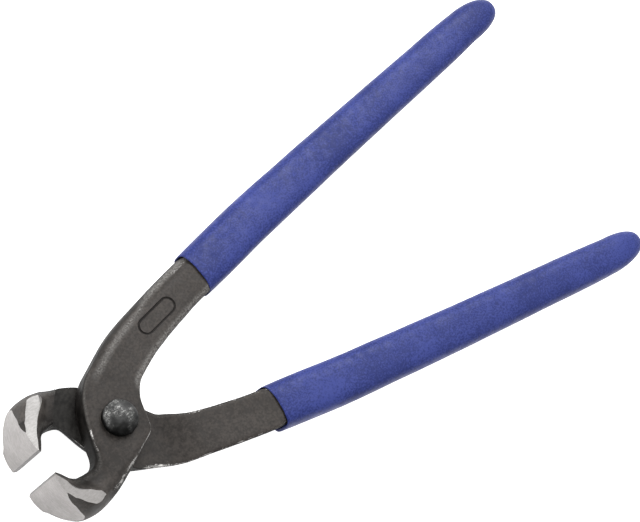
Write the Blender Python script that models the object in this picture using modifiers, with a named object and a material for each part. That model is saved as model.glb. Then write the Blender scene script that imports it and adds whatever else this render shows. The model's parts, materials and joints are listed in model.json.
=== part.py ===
"""End-cutting pincers: two forged levers on one rivet, with vinyl sleeves.

Each lever is drawn in its own closed frame, in millimetres: X runs from the
jaws (-X) to the handle (+X), the handle lies at +Y, the jaw at -Y, and the
outer (exposed) face of the lap plate looks to +Z. The rear lever is the same
forging turned half a turn about X, so the two lap plates lie on each other.
The model lies on its back, with the jaws half open.
"""

import math

import bmesh
import bpy
from mathutils import Matrix, Vector

MM = 0.001

# ---------------------------------------------------------------- dimensions
LENGTH = 220.0            # closed length, cutting edge to sleeve end
EDGE_X = -26.0            # front of the cutting edges, from the pivot line
JAW_HALF = 11.0           # half the width of the cutting edges
FACE_Z = 6.5              # lap mid-plane to the outer face of each plate
LAP_GAP = 0.15            # half the gap between the two lap faces
LAP_R = 18.0              # radius of the recess each plate turns in
LAP_X = 10.0              # the recess ends here on the handle side
RAMP = 12.0               # the handle then reaches its full thickness over this
BAR_T = 9.0               # thickness of the handle bar
HALF_OPEN = 7.48          # each lever's turn from closed, degrees
PIVOT_OFF = 0.7           # the rivet sits this far off the centre line
HANDLE_RISE = 0.0112      # the handles leave the lap plane by this slope
MOUTH_X = 47.6            # sleeve mouth
GRIP_END_X = LENGTH + EDGE_X
BAR_TAPER = 1.6           # the bar thins by this much inside the sleeve
GRIP_T = 10.5             # sleeve thickness at its mouth
GRIP_TAPER = 1.2
FIT = 0.25                # gap between steel and sleeve
SHANK_R = 4.0             # rivet shank
SHANK_GAP = 0.1
HEAD_R = 4.7              # rivet head
HEAD_H = 3.3
HEAD_GAP = 0.15

# The row's origin: middle of the bounding box, on the surface it lies on.
CENTRE_X = 82.2
CENTRE_Y = 0.0
FLOOR_Z = -JAW_HALF

COLOUR_FORGED = (0.060, 0.055, 0.050, 1.0)
COLOUR_RIVET = (0.075, 0.078, 0.078, 1.0)
COLOUR_GRIP = (0.062, 0.075, 0.300, 1.0)

# Lever outline before grinding. Each point: x, y, edge rounding across the face
# (mm), and how much of the half thickness that rounding takes up.
OUTER_SIDE = [
    (180.0, 23.3, 2.9, 0.0), (160.0, 23.5, 2.9, 0.0), (130.0, 23.3, 2.9, 0.0),
    (100.0, 23.0, 2.9, 0.0), (75.0, 22.4, 2.9, 0.0), (60.0, 21.7, 2.9, 0.0),
    (52.0, 21.15, 3.2, 0.0), (45.5, 21.1, 3.8, 0.0), (39.0, 20.65, 4.0, 0.0),
    (33.0, 20.1, 4.0, 0.0), (26.7, 19.45, 3.9, 0.0), (20.8, 18.75, 3.8, 0.0),
    (15.8, 17.9, 3.5, 0.0), (11.4, 16.8, 3.1, 0.0), (5.0, 14.65, 2.5, 0.0),
    (0.5, 13.0, 1.8, 0.0), (-4.0, 9.6, 1.2, 0.0), (-6.3, 6.6, 0.9, 0.0),
    (-8.0, 3.8, 0.8, 0.0), (-9.5, 0.8, 0.8, 0.0), (-10.7, -1.9, 0.8, 0.0),
    (-11.8, -4.2, 0.9, 0.0), (-13.4, -5.6, 1.0, 0.0), (-15.8, -5.6, 1.3, 0.0),
    (-18.0, -5.1, 1.6, 0.0), (-20.4, -4.5, 1.7, 0.0), (-22.1, -3.3, 1.5, 0.0),
    (-23.2, -1.7, 1.2, 0.0), (-24.4, -0.2, 1.0, 0.0), (-26.0, 1.2, 0.9, 0.0),
    (-28.0, 1.5, 0.8, 0.0),
]
FRONT_SIDE = [
    (-29.2, -0.6, 0.9, 0.0), (-29.1, -3.4, 0.9, 0.0), (-27.8, -5.4, 1.6, 0.6),
    (-26.85, -7.0, 1.8, 0.85), (-26.4, -8.7, 2.2, 0.92), (-26.1, -10.6, 3.3, 0.92),
    (-25.05, -12.5, 4.2, 0.92), (-23.6, -14.1, 3.9, 0.92),
    (-21.2, -15.1, 3.4, 0.92), (-18.7, -15.5, 3.3, 0.9),
    (-16.0, -15.4, 3.6, 0.8), (-13.2, -14.9, 3.6, 0.6),
    (-10.3, -14.2, 3.3, 0.2), (-7.4, -13.25, 2.8, 0.0), (-4.5, -12.2, 2.4, 0.0),
    (-1.9, -11.2, 2.0, 0.0), (1.6, -10.0, 1.5, 0.0), (4.4, -9.05, 1.2, 0.0),
    (5.6, -7.9, 1.0, 0.0), (6.75, -5.6, 0.9, 0.0), (7.7, -3.0, 0.9, 0.0),
    (8.6, -1.0, 0.9, 0.0), (9.9, 0.8, 0.9, 0.0), (12.1, 2.8, 1.0, 0.0),
    (15.0, 4.25, 1.2, 0.0), (17.9, 5.35, 1.5, 0.0), (21.3, 6.25, 1.8, 0.0),
    (24.9, 6.95, 2.0, 0.0), (29.6, 7.7, 2.2, 0.0), (34.7, 8.35, 2.3, 0.0),
    (39.5, 8.9, 2.4, 0.0), (45.0, 9.3, 2.4, 0.0), (52.0, 9.95, 2.9, 0.0),
    (60.0, 10.45, 2.9, 0.0), (75.0, 11.2, 2.9, 0.0), (100.0, 12.15, 2.9, 0.0),
    (130.0, 13.1, 2.9, 0.0), (160.0, 13.8, 2.9, 0.0), (180.0, 14.6, 2.9, 0.0),
]
BAR_END = [(183.4, 16.2, 2.9, 0.0), (184.7, 18.7, 2.9, 0.0), (183.7, 21.4, 2.9, 0.0)]

# Ground front of the jaw: the cutting edge, its small bevel, then the face.
GRIND = [
    (EDGE_X + 0.75, 0.0), (EDGE_X, -0.65), (-26.4, -2.5), (-26.45, -4.5),
    (-26.25, -6.5), (-25.9, -8.4), (-25.35, -10.4), (-24.6, -12.3),
    (-23.6, -14.0), (-22.0, -15.9), (-19.5, -18.6),
]

# Ground facet beside the jaw: distance along it and across it.
TONGUE = [
    (-3.0, 2.2), (0.0, 0.6), (1.8, 0.4), (3.6, 0.0), (5.8, -0.5), (7.8, -0.7),
    (10.2, -0.35), (12.0, 0.15), (13.5, 0.5), (14.7, 0.25), (15.4, -0.7),
    (15.4, -1.8), (14.6, -2.8), (13.2, -3.4), (11.5, -3.8), (9.3, -4.0),
    (7.0, -4.1), (5.0, -4.4), (2.0, -5.5), (-3.0, -5.5),
]

# Sleeve centre line and width: x, y, width.
GRIP_LINE = [
    (MOUTH_X, 15.3, 13.45), (55.0, 15.75, 13.75), (70.0, 16.67, 13.75),
    (90.0, 17.28, 13.45), (110.0, 17.8, 13.1), (130.0, 18.2, 12.7),
    (150.0, 18.5, 12.4), (170.0, 18.86, 12.0), (180.0, 19.0, 11.4),
]


# ------------------------------------------------------------------- helpers
def catmull(points, steps):
    """Centripetal spline through points of any dimension, ends included."""
    pts = [Vector(p) for p in points]
    ext = [pts[0] * 2 - pts[1]] + pts + [pts[-1] * 2 - pts[-2]]
    out = []
    for i in range(1, len(ext) - 2):
        p0, p1, p2, p3 = ext[i - 1:i + 3]
        t1 = max((p1 - p0).length, 1e-6) ** 0.5
        t2 = t1 + max((p2 - p1).length, 1e-6) ** 0.5
        t3 = t2 + max((p3 - p2).length, 1e-6) ** 0.5
        for k in range(steps):
            t = t1 + (t2 - t1) * k / steps
            a1 = p0 * ((t1 - t) / t1) + p1 * (t / t1)
            a2 = p1 * ((t2 - t) / (t2 - t1)) + p2 * ((t - t1) / (t2 - t1))
            a3 = p2 * ((t3 - t) / (t3 - t2)) + p3 * ((t - t2) / (t3 - t2))
            b1 = a1 * ((t2 - t) / t2) + a2 * (t / t2)
            b2 = a2 * ((t3 - t) / (t3 - t1)) + a3 * ((t - t1) / (t3 - t1))
            out.append(b1 * ((t2 - t) / (t2 - t1)) + b2 * ((t - t1) / (t2 - t1)))
    out.append(pts[-1])
    return out


def ease(t):
    t = min(max(t, 0.0), 1.0)
    return t * t * (3.0 - 2.0 * t)


def material(name, colour, roughness, metallic):
    mat = bpy.data.materials.new(name)
    mat.use_nodes = True
    bsdf = mat.node_tree.nodes["Principled BSDF"]
    bsdf.inputs["Base Color"].default_value = colour
    bsdf.inputs["Roughness"].default_value = roughness
    bsdf.inputs["Metallic"].default_value = metallic
    return mat


def collection(name):
    col = bpy.data.collections.new(name)
    bpy.context.scene.collection.children.link(col)
    return col


def add_object(name, mesh, col, mat=None):
    obj = bpy.data.objects.new(name, mesh)
    col.objects.link(obj)
    if mat:
        mesh.materials.append(mat)
    return obj


def evaluated_mesh(obj, name):
    bpy.context.view_layer.update()
    deps = bpy.context.evaluated_depsgraph_get()
    mesh = bpy.data.meshes.new_from_object(obj.evaluated_get(deps))
    mesh.name = name
    return mesh


def plate_from_outline(name, outline, low, high, col):
    """Closed prism over a plan outline (mm) between two heights (mm)."""
    curve = bpy.data.curves.new(name + "_outline", "CURVE")
    curve.dimensions = "2D"
    curve.fill_mode = "BOTH"
    curve.extrude = 0.5 * (high - low) * MM
    spline = curve.splines.new("POLY")
    spline.points.add(len(outline) - 1)
    for point, p in zip(spline.points, outline):
        point.co = (p[0] * MM, p[1] * MM, 0.0, 1.0)
    spline.use_cyclic_u = True
    temp = bpy.data.objects.new(name + "_curve", curve)
    col.objects.link(temp)
    temp.location.z = 0.5 * (high + low) * MM
    mesh = evaluated_mesh(temp, name)
    bm = bmesh.new()
    bm.from_mesh(mesh)
    bmesh.ops.remove_doubles(bm, verts=bm.verts, dist=1e-6)
    inner = [e for e in bm.edges if len(e.link_faces) == 2
             and all(abs(f.normal.z) > 0.99 for f in e.link_faces)]
    bmesh.ops.dissolve_edges(bm, edges=inner, use_verts=False)
    bmesh.ops.recalc_face_normals(bm, faces=bm.faces)
    bmesh.ops.transform(bm, matrix=temp.matrix_world, verts=bm.verts)
    bm.to_mesh(mesh)
    bm.free()
    bpy.data.objects.remove(temp, do_unlink=True)
    return mesh


def cutter(name, mesh, col):
    obj = add_object(name, mesh, col)
    obj.hide_render = True
    obj.display_type = "WIRE"
    return obj


def cut(obj, tool, operation="DIFFERENCE"):
    mod = obj.modifiers.new(tool.name, "BOOLEAN")
    mod.operation = operation
    mod.solver = "EXACT"
    mod.object = tool


def smooth(mesh, angle=35.0):
    mesh.shade_smooth()
    mesh.set_sharp_from_angle(angle=math.radians(angle))


# --------------------------------------------------------------------- lever
TONGUE_A = Vector((-25.5, -0.5, JAW_HALF - 0.06))   # corner of the cutting edge
TONGUE_B = Vector((-17.4, -12.5, 7.2))              # end of the ground facet


FLARE_R = 19.6            # the jaws thicken outside this radius
FLARE_SLOPE = 0.76
LAP_ROUND = 0.4           # the jaw's root is rounder by this on the lap side
LAP_EDGE = 0.9            # edge rounding of the handle's lap-side face
REAR_DRAFT = 0.8          # the rear handle is wider by this on its lap side
JAW_STATIONS = [-27.0, -25.5, -24.0, -22.5, -21.0, -19.5, -18.0, -16.5, -15.0]
BAR_STATIONS = [-8.0, -6.0, -4.0, -2.0, 0.0, 4.0, LAP_X - 2.0, LAP_X, 12.0, 14.0,
                16.0, 18.0, 20.0, LAP_X + RAMP, 34.0, MOUTH_X]


def bar_thickness(x):
    """Thickness of the handle bar, even up to the sleeve and thinner inside."""
    return BAR_T - BAR_TAPER * max(x - MOUTH_X, 0.0) / (GRIP_END_X - MOUTH_X)


def facet_height(x, y):
    """Height of the plane of the ground facet beside the jaw."""
    run = TONGUE_B - TONGUE_A
    down = -run.z / run.xy.length_squared
    return TONGUE_A.z - down * (Vector((x, y)) - TONGUE_A.xy).dot(run.xy)


def lever_height(x, y, z):
    """Flare of the jaw and thickness of the handle bar, from a +-FACE_Z slab."""
    flare = 1.0
    if x < 0.0:
        rise = FLARE_SLOPE * max(math.hypot(x, y) - FLARE_R, 0.0)
        flare += min(rise, max(facet_height(x, y) + 1.0 - FACE_Z, 0.0)) / FACE_Z
    on_bar = ease((x + 8.0) / 8.0)
    half = bar_thickness(x) / 2.0
    mid = FACE_Z - BAR_T / 2.0
    if x < MOUTH_X:
        low = inner_face(x)
        mid, half = (FACE_Z + low) / 2.0, (FACE_Z - low) / 2.0
    z = z * flare * (1.0 - on_bar) + (mid + z / FACE_Z * half) * on_bar
    return z + HANDLE_RISE * max(x - MOUTH_X, 0.0)


def inner_face(x):
    """Height of the handle's lap-side face; inside LAP_X it is cut away."""
    deep = BAR_T - FACE_Z + LAP_GAP
    if x > LAP_X:
        return LAP_GAP - deep * ease((x - LAP_X) / RAMP)
    return LAP_GAP - 0.6 * min((LAP_X - x) / 2.0, 1.0)


def divide(bm, coordinate, values, limit=None):
    """Cut every face across at the given stations along one axis (mm)."""
    normal = Vector((1, 0, 0)) if coordinate == 0 else Vector((0, 1, 0))
    for value in values:
        faces = [f for f in bm.faces if limit is None
                 or f.calc_center_median().x < limit * MM]
        edges = {e for f in faces for e in f.edges}
        verts = {v for f in faces for v in f.verts}
        bmesh.ops.bisect_plane(bm, geom=list(verts) + list(edges) + faces,
                               dist=1e-7, plane_co=normal * value * MM,
                               plane_no=normal)


def edge_shape(p, sign, outer, rear):
    """Rounding across the face, its depth, and a shift outward, at one point."""
    r, part, out = p.z, p.w, 0.0
    bare = ease((47.0 - p.x) / 6.0)              # 0 inside the sleeve
    if sign > 0.0 and outer:
        part = max(part, 0.92 * ease((p.x - 2.0) / 8.0) * bare)
    if sign < 0.0 and p.x > 6.0:
        r += (min(r, LAP_EDGE) - r) * ease((p.x - 6.0) / 5.0) * bare
    if sign < 0.0 and rear and outer:
        out = REAR_DRAFT * ease((p.x + 1.0) / 4.0) * (1.0 - 0.5 * ease((p.x - 14.0) / 12.0))
        out *= bare
    if sign < 0.0 and p.x < -5.0 and p.y < -5.9:
        r *= 1.0 + LAP_ROUND * ease((p.x + 15.0) / 3.0)
        part = max(part, 0.92 * ease((p.x + 15.5) / 3.0))
        out = -0.5 * ease((p.x + 14.0) / 3.0) * ease((-6.0 - p.x) / 4.0)
    r = min(r, FACE_Z - 0.4)
    return r, min(max(r, part * FACE_Z), FACE_Z - 0.4), out


def lever_mesh(name, hole, rear):
    """Forged blank: outline, rounded edges, flared jaw. Origin on the hole."""
    side = catmull(OUTER_SIDE + FRONT_SIDE, 2)
    side += [Vector(p) for p in BAR_END]
    n = len(side)
    inward = []
    for i in range(n):
        along = (side[(i + 1) % n] - side[i - 1]).xy.normalized()
        inward.append(Vector((-along.y, along.x)))
    bm = bmesh.new()
    rings = []
    for sign, turns in ((-1.0, (90, 60, 30, 0)), (1.0, (0, 30, 60, 90))):
        for t in (math.radians(a) for a in turns):
            ring = []
            for i, (p, q) in enumerate(zip(side, inward)):
                r, deep, out = edge_shape(p, sign, i < 2 * len(OUTER_SIDE), rear)
                flat = p.xy - q * out + q * r * (1.0 - math.cos(t))
                z = sign * (FACE_Z - deep * (1.0 - math.sin(t)))
                ring.append(bm.verts.new((flat.x * MM, flat.y * MM, z * MM)))
            rings.append(ring)
    for low, high in zip(rings, rings[1:]):
        for i in range(n):
            j = (i + 1) % n
            bm.faces.new((low[i], low[j], high[j], high[i]))
    bm.faces.new(rings[0])
    bm.faces.new(rings[-1])
    bmesh.ops.recalc_face_normals(bm, faces=bm.faces)
    divide(bm, 0, JAW_STATIONS + BAR_STATIONS)
    divide(bm, 1, [-2.0 * k for k in range(1, 8)], limit=-15.0)
    bmesh.ops.triangulate(bm, faces=[f for f in bm.faces if len(f.verts) > 4
                                     or abs(f.normal.z) > 0.9])
    for v in bm.verts:
        x, y, z = v.co / MM
        v.co = (Vector((x, y, lever_height(x, y, z))) - hole) * MM
    bmesh.ops.triangulate(bm, faces=[f for f in bm.faces if len(f.verts) > 3])
    mesh = bpy.data.meshes.new(name)
    bm.to_mesh(mesh)
    bm.free()
    return mesh


def arc(radius, start, stop, steps):
    return [(radius * math.cos(math.radians(start + (stop - start) * i / steps)),
             radius * math.sin(math.radians(start + (stop - start) * i / steps)))
            for i in range(steps + 1)]


def lever_cutters(name, hole, col):
    """Lap recess, rivet hole and the ground faces, in the lever's frame."""
    tools = []
    # Lap recess, turned about the pivot on the jaw side.
    end = math.degrees(math.acos(LAP_X / LAP_R))
    mesh = plate_from_outline(name + "_lap", arc(LAP_R, end, 360.0 - end, 44),
                              -20.0, LAP_GAP, col)
    tools.append(cutter(name + "_lap_cutter", mesh, col))
    # Rivet hole.
    bm = bmesh.new()
    bmesh.ops.create_cone(bm, cap_ends=True, segments=36,
                          radius1=(SHANK_R + SHANK_GAP) * MM,
                          radius2=(SHANK_R + SHANK_GAP) * MM, depth=40.0 * MM)
    mesh = bpy.data.meshes.new(name + "_hole")
    bm.to_mesh(mesh)
    bm.free()
    tools.append(cutter(name + "_hole_cutter", mesh, col))
    # Front of the jaw, with the mating plane above the cutting edge.
    face = [(-19.0, 6.0), (-19.0, 0.0)] + GRIND[:2]
    face += [p[:] for p in catmull([p + (0.0,) for p in GRIND[1:]], 3)][1:]
    face += [(-18.0, -24.0), (-40.0, -24.0), (-40.0, 6.0)]
    face = [(p[0] - hole.x, p[1] - hole.y) for p in face]
    mesh = plate_from_outline(name + "_front", face, -20.0, 20.0, col)
    tools.append(cutter(name + "_front_cutter", mesh, col))
    # Side facets of the jaw, one up and one down: tongues with a round end.
    ahead = (TONGUE_B - TONGUE_A).xy.normalized()
    inside = Vector((-ahead.y, ahead.x))
    tongue = catmull([p + (0.0,) for p in TONGUE + TONGUE[:1]], 2)[:-1]
    outline = [TONGUE_A.xy + ahead * p.x + inside * p.y - hole.xy for p in tongue]
    for sign, tag in ((1.0, "upper"), (-1.0, "lower")):
        mesh = plate_from_outline(name + "_side_" + tag, outline, 2.0, 16.0, col)
        bm = bmesh.new()
        bm.from_mesh(mesh)
        for v in bm.verts:
            if v.co.z < 9.0 * MM:
                x, y = v.co.x / MM + hole.x, v.co.y / MM + hole.y
                v.co.z = facet_height(x, y) * MM
        if sign < 0.0:
            bmesh.ops.transform(bm, matrix=Matrix.Scale(-1.0, 4, (0, 0, 1)),
                                verts=bm.verts)
            bmesh.ops.reverse_faces(bm, faces=bm.faces)
        bm.to_mesh(mesh)
        bm.free()
        tools.append(cutter(name + "_side_cutter_" + tag, mesh, col))
    return tools


# ---------------------------------------------------------------------- grip
def rounded_ring(a, b, r, per_corner):
    """Points round a rounded rectangle of half sizes a and b."""
    out = []
    for k, (sx, sy) in enumerate(((1, 1), (-1, 1), (-1, -1), (1, -1))):
        for i in range(per_corner + 1):
            t = math.radians(90.0 * k + 90.0 * i / per_corner)
            out.append((sx * (a - r) + r * math.cos(t),
                        sy * (b - r) + r * math.sin(t)))
    return out


def grip_section(x):
    """Centre y, width and thickness of the sleeve at x."""
    line = GRIP_LINE
    x = min(x, line[-1][0])
    for p, q in zip(line, line[1:]):
        if x <= q[0]:
            t = (x - p[0]) / (q[0] - p[0])
            break
    y, w = (p[i] + (q[i] - p[i]) * t for i in (1, 2))
    return y, w, GRIP_T - GRIP_TAPER * (x - MOUTH_X) / (GRIP_END_X - MOUTH_X)


def grip_mesh(name, hole):
    """Dipped sleeve: outer skin, rounded end, and a pocket for the bar."""
    mid_z = FACE_Z - BAR_T / 2.0
    bm = bmesh.new()

    def ring(x, y, a, b, r):
        z = mid_z + HANDLE_RISE * max(x - MOUTH_X, 0.0)
        pts = rounded_ring(a, b, r, 5)
        return [bm.verts.new((Vector((x, y + p, z + q)) - hole) * MM)
                for p, q in pts]

    outer, inner = [], []
    for x in (MOUTH_X, 55.0, 70.0, 90.0, 110.0, 130.0, 150.0, 170.0, 180.0):
        y, w, t = grip_section(x)
        outer.append(ring(x, y, w / 2.0, t / 2.0, 3.5))
    y0, w, t = grip_section(180.0)
    for k in range(1, 6):                       # rounded end
        s = math.sin(math.radians(90.0 * k / 6.0))
        c = math.cos(math.radians(90.0 * k / 6.0))
        outer.append(ring(180.0 + (GRIP_END_X - 180.0) * s, y0 - 0.6 * s,
                          w / 2.0 * c ** 0.8,
                          t / 2.0 * c ** 0.8, 3.5 * c ** 0.8))
    end = Vector((GRIP_END_X, y0 - 0.6,
                  mid_z + HANDLE_RISE * (GRIP_END_X - MOUTH_X)))
    for x in (MOUTH_X, 52.0, 60.0, 75.0, 100.0, 130.0, 160.0, 180.0):
        hi, lo = bar_sides(x)
        bar = bar_thickness(x) / 2.0 + FIT
        inner.append(ring(x, (hi + lo) / 2.0, (hi - lo) / 2.0 + FIT, bar, 1.9))
    for x, a, b in ((183.6, -0.9, 0.90), (185.2, -2.0, 0.78)):   # pocket end
        inner.append(ring(x, (hi + lo) / 2.0, (hi - lo) / 2.0 + FIT + a,
                          bar * b, 1.7 * b))
    n = len(outer[0])
    for rings in (outer, inner):
        for p, q in zip(rings, rings[1:]):
            for i in range(n):
                j = (i + 1) % n
                bm.faces.new((p[i], p[j], q[j], q[i]))
    for i in range(n):
        j = (i + 1) % n
        bm.faces.new((outer[0][j], outer[0][i], inner[0][i], inner[0][j]))
    tip = bm.verts.new((end - hole) * MM)
    for i in range(n):
        bm.faces.new((outer[-1][i], outer[-1][(i + 1) % n], tip))
    bm.faces.new(inner[-1])
    bmesh.ops.remove_doubles(bm, verts=bm.verts, dist=1e-7)
    bmesh.ops.recalc_face_normals(bm, faces=bm.faces)
    mesh = bpy.data.meshes.new(name)
    bm.to_mesh(mesh)
    bm.free()
    return mesh


def bar_sides(x):
    """Outer and inner y of the steel bar inside the sleeve."""
    def at(points):
        pts = sorted((p[0], p[1]) for p in points if p[0] > 40.0)
        for p, q in zip(pts, pts[1:]):
            if x <= q[0]:
                return p[1] + (q[1] - p[1]) * (x - p[0]) / (q[0] - p[0])
        return pts[-1][1]
    return at(OUTER_SIDE), at(FRONT_SIDE)


# --------------------------------------------------------------------- rivet
def rivet_mesh(name, col):
    """Shank with a domed head on each side, turned from one profile."""
    top = FACE_Z + HEAD_GAP
    prof = []
    sphere = (HEAD_R ** 2 + HEAD_H ** 2) / (2.0 * HEAD_H)
    full = math.asin(min(1.0, HEAD_R / sphere))
    dome = [(sphere * math.sin(full * i / 7.0),
             top + HEAD_H - sphere * (1.0 - math.cos(full * i / 7.0)))
            for i in range(8)]
    prof += [(0.0, dome[0][1])] + dome[1:]
    prof += [(HEAD_R, top), (SHANK_R, top)]
    prof += [(r, -z) for r, z in reversed(prof)]
    clean = [p for i, p in enumerate(prof)
             if i == 0 or math.dist(p, prof[i - 1]) > 1e-4]
    mesh = bpy.data.meshes.new(name + "_profile")
    mesh.from_pydata([(r * MM, 0.0, z * MM) for r, z in clean],
                     [(i, i + 1) for i in range(len(clean) - 1)], [])
    obj = add_object(name, mesh, col)
    screw = obj.modifiers.new("turned", "SCREW")
    screw.axis = "Z"
    screw.steps = 36
    screw.render_steps = 36
    screw.use_merge_vertices = True
    screw.merge_threshold = 0.00002
    return obj


# --------------------------------------------------------------------- build
def build():
    for obj in list(bpy.data.objects):
        bpy.data.objects.remove(obj, do_unlink=True)
    parts = collection("end_cutting_pincers")
    tools = collection("cutters")

    forged_front = material("forged_front", COLOUR_FORGED, 0.5, 0.6)
    forged_rear = material("forged_rear", COLOUR_FORGED, 0.5, 0.6)
    vinyl_front = material("vinyl_front", COLOUR_GRIP, 0.45, 0.0)
    vinyl_rear = material("vinyl_rear", COLOUR_GRIP, 0.45, 0.0)
    steel_rivet = material("rivet_steel", COLOUR_RIVET, 0.4, 0.9)

    turn = math.radians(HALF_OPEN)
    pivot = Vector((0.0, -PIVOT_OFF, 0.0))
    front_hole = Matrix.Rotation(-turn, 3, "Z") @ pivot
    rear_hole = Matrix.Rotation(turn, 3, "Z") @ pivot
    rear_hole.y = -rear_hole.y

    axis = pivot - Vector((CENTRE_X, CENTRE_Y, FLOOR_Z))
    front_half = bpy.data.objects.new("front_half_pivot", None)
    front_half.location = axis * MM
    front_half.rotation_euler = (0.0, 0.0, turn)
    rear_half = bpy.data.objects.new("rear_half_pivot", None)
    rear_half.location = axis * MM
    rear_half.rotation_euler = (math.pi, 0.0, -turn)
    for empty in (front_half, rear_half):
        parts.objects.link(empty)

    for name, hole, half, mat in (
            ("front_lever", front_hole, front_half, forged_front),
            ("rear_lever", rear_hole, rear_half, forged_rear)):
        mesh = lever_mesh(name, hole, half is rear_half)
        smooth(mesh)
        lever = add_object(name, mesh, parts, mat)
        lever.parent = half
        for tool in lever_cutters(name, hole, tools):
            tool.parent = half
            cut(lever, tool)

    for name, hole, half, mat in (
            ("front_grip", front_hole, front_half, vinyl_front),
            ("rear_grip", rear_hole, rear_half, vinyl_rear)):
        mesh = grip_mesh(name, hole)
        smooth(mesh, 50.0)
        grip = add_object(name, mesh, parts, mat)
        grip.parent = half

    rivet = rivet_mesh("pivot_rivet", parts)
    rivet.data.materials.append(steel_rivet)
    rivet.location = axis * MM
    bpy.context.view_layer.update()


build()
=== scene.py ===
"""End-cutting pincers, dressed for the camera: forged levers with ground jaws,
a hammered rivet and satin vinyl sleeves, on a plain pale floor.

Shapes are drawn in each lever's closed frame, in millimetres: jaws at -X,
handle at +X and +Y, outer face of the lap plate at +Z. The rear lever is the
same forging turned half a turn about X.
"""

import json
import math

import bmesh
import bpy
import numpy as np
from mathutils import Matrix, Vector, kdtree, noise

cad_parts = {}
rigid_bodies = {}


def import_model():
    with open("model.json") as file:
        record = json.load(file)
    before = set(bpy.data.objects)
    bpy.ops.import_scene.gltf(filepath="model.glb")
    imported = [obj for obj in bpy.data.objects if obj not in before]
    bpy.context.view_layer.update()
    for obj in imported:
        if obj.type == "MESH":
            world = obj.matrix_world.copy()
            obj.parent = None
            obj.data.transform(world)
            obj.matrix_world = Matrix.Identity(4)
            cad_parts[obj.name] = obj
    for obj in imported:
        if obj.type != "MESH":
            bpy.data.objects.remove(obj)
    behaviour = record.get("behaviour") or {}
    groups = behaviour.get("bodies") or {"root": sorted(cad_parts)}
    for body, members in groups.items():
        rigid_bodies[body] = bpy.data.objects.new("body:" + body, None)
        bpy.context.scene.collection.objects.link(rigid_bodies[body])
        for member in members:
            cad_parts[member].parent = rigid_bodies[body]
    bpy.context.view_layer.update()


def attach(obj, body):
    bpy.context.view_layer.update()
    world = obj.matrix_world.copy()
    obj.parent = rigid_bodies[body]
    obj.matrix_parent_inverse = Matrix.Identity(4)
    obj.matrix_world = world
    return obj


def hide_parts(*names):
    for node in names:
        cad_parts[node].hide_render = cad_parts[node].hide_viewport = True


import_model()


MM = 0.001
FACE_Z = 6.5
LAP_GAP = 0.15
LAP_R = 18.0
LAP_X = 10.0
RAMP = 12.0
BAR_T = 9.0
BAR_TAPER = 1.6
# Sides of the bar under the sleeve: place along it, outer side, finger side.
BAR_SIDES = [
    (45.0, 21.1, 9.3), (52.0, 21.1, 9.95), (60.0, 21.65, 10.45), (75.0, 22.4, 11.2),
    (100.0, 23.0, 12.15), (130.0, 23.3, 13.1), (160.0, 23.5, 13.8),
    (180.0, 23.3, 14.6), (183.0, 22.7, 15.3), (185.2, 21.6, 16.3),
]
HALF_OPEN = 7.48
PIVOT_OFF = 0.7
HANDLE_RISE = 0.0112
MOUTH_X = 47.6
EDGE_X = -26.0
GRIP_END_X = 193.7
GRIP_T = 10.5
GRIP_TAPER = 1.2
JAW_HALF = 11.0
FLARE_R = 19.6
FLARE_SLOPE = 0.76
LAP_ROUND = 0.4
LAP_EDGE = 0.9
REAR_DRAFT = 0.85
CENTRE = Vector((82.2, 0.0, -JAW_HALF))
TURN = math.radians(HALF_OPEN)
PIVOT = Vector((0.0, -PIVOT_OFF, 0.0))
AXIS = PIVOT - CENTRE

FRONT_HOLE = Matrix.Rotation(-TURN, 3, "Z") @ PIVOT
REAR_HOLE = Matrix.Rotation(TURN, 3, "Z") @ PIVOT
REAR_HOLE.y = -REAR_HOLE.y

TO_FRONT = (Matrix.Scale(MM, 4) @ Matrix.Translation(AXIS)
            @ Matrix.Rotation(TURN, 4, "Z") @ Matrix.Translation(-FRONT_HOLE))
TO_REAR = (Matrix.Scale(MM, 4) @ Matrix.Translation(AXIS)
           @ Matrix.Rotation(-TURN, 4, "Z") @ Matrix.Rotation(math.pi, 4, "X")
           @ Matrix.Translation(-REAR_HOLE))

# ------------------------------------------------------------------ outlines
# Lever outline before grinding. Each point: x, y, edge rounding across the face,
# and how much of the half thickness that rounding takes up.
OUTER_SIDE = [
    (56.0, 20.6, 3.6, 0.0), (50.5, 21.0, 3.8, 0.0), (45.5, 21.1, 4.0, 0.0),
    (39.0, 20.65, 4.0, 0.0), (33.0, 20.1, 4.0, 0.0), (26.7, 19.45, 3.9, 0.0),
    (20.8, 18.75, 3.8, 0.0), (15.8, 17.9, 3.5, 0.0), (11.4, 16.8, 3.1, 0.0),
    (5.0, 14.65, 2.5, 0.0), (0.5, 13.0, 1.8, 0.0), (-4.0, 9.6, 1.2, 0.0),
    (-6.3, 6.6, 0.9, 0.0), (-8.0, 3.8, 0.8, 0.0), (-9.5, 0.8, 0.8, 0.0),
    (-10.7, -1.9, 0.8, 0.0), (-11.8, -4.2, 0.9, 0.0), (-13.4, -5.6, 1.0, 0.0),
    (-15.8, -5.6, 1.3, 0.0), (-18.0, -5.1, 1.6, 0.0), (-20.4, -4.5, 1.7, 0.0),
    (-22.1, -3.3, 1.5, 0.0), (-23.2, -1.7, 1.2, 0.0), (-24.4, -0.2, 1.0, 0.0),
    (-26.0, 1.2, 0.9, 0.0), (-28.0, 1.5, 0.8, 0.0),
]
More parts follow.
